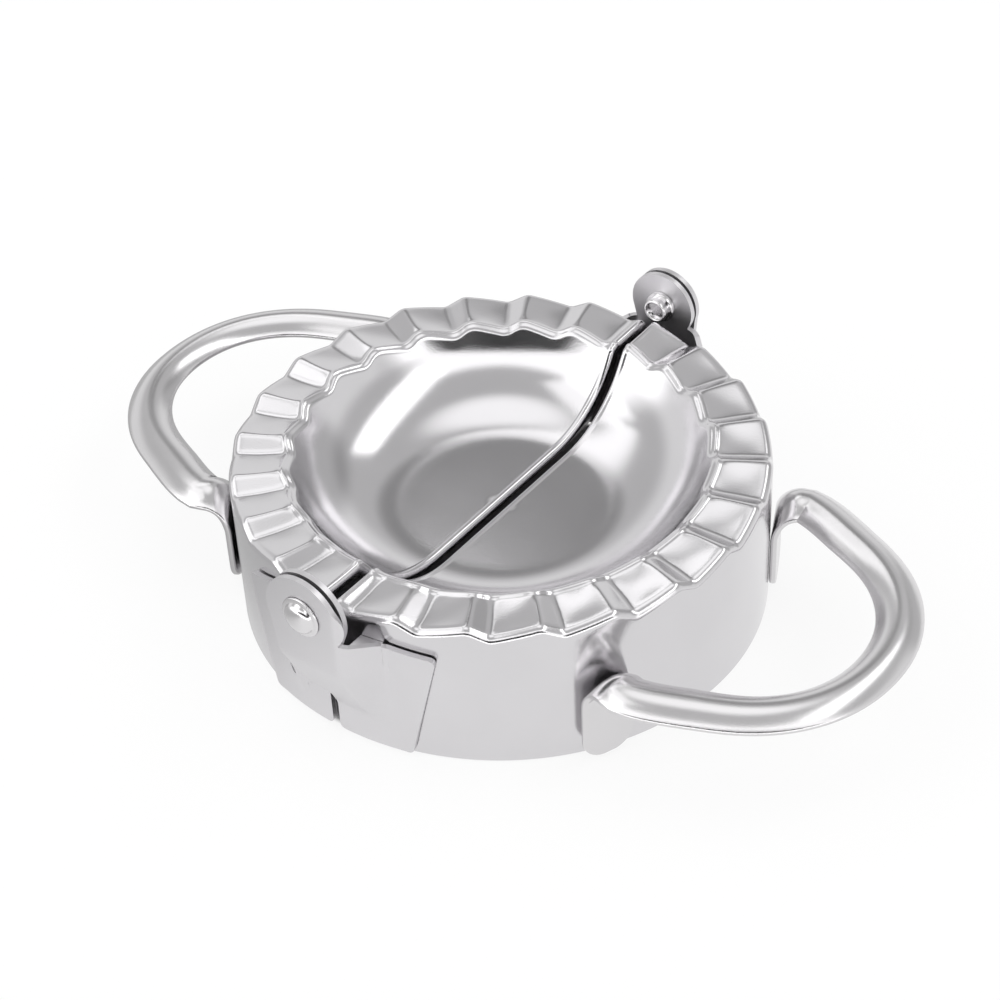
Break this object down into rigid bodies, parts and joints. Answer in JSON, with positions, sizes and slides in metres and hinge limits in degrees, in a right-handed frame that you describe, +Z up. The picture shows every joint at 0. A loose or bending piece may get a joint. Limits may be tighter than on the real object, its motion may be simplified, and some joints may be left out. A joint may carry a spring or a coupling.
{
  "type": "folding dumpling maker",
  "caption": "Folding steel dumpling press lying open: two half-moon moulds with pleated rims, cutter skirts and loop handles, joined by a riveted hinge.",
  "frame": {"origin": "centre of the split between the two halves, on the table that the skirts stand on", "axes": "+X along the handles towards the half that folds, +Y along the hinge line towards the back hinge, +Z up"},
  "size_m": [0.162, 0.111, 0.0375],
  "materials": {
    "mould_steel": "bright polished stainless sheet with fine drawing marks",
    "handle_steel": "polished stainless strip",
    "plate_steel": "satin stainless sheet",
    "rivet_steel": "bright rivet steel"
  },
  "bodies": {
    "left_half": {"mould_left": "mould_steel", "handle_left": "handle_steel", "plate_front_left": "plate_steel", "plate_back_left": "plate_steel", "rivets": "rivet_steel"},
    "right_half": {"mould_right": "mould_steel", "handle_right": "handle_steel", "plate_front_right": "plate_steel", "plate_back_right": "plate_steel"}
  },
  "joints": [
    {"name": "fold", "type": "hinge", "parent": "left_half", "child": "right_half", "pos_m": [0, 0, 0.03], "axis": [0, -1, 0], "range_deg": [0, 180]}
  ]
}
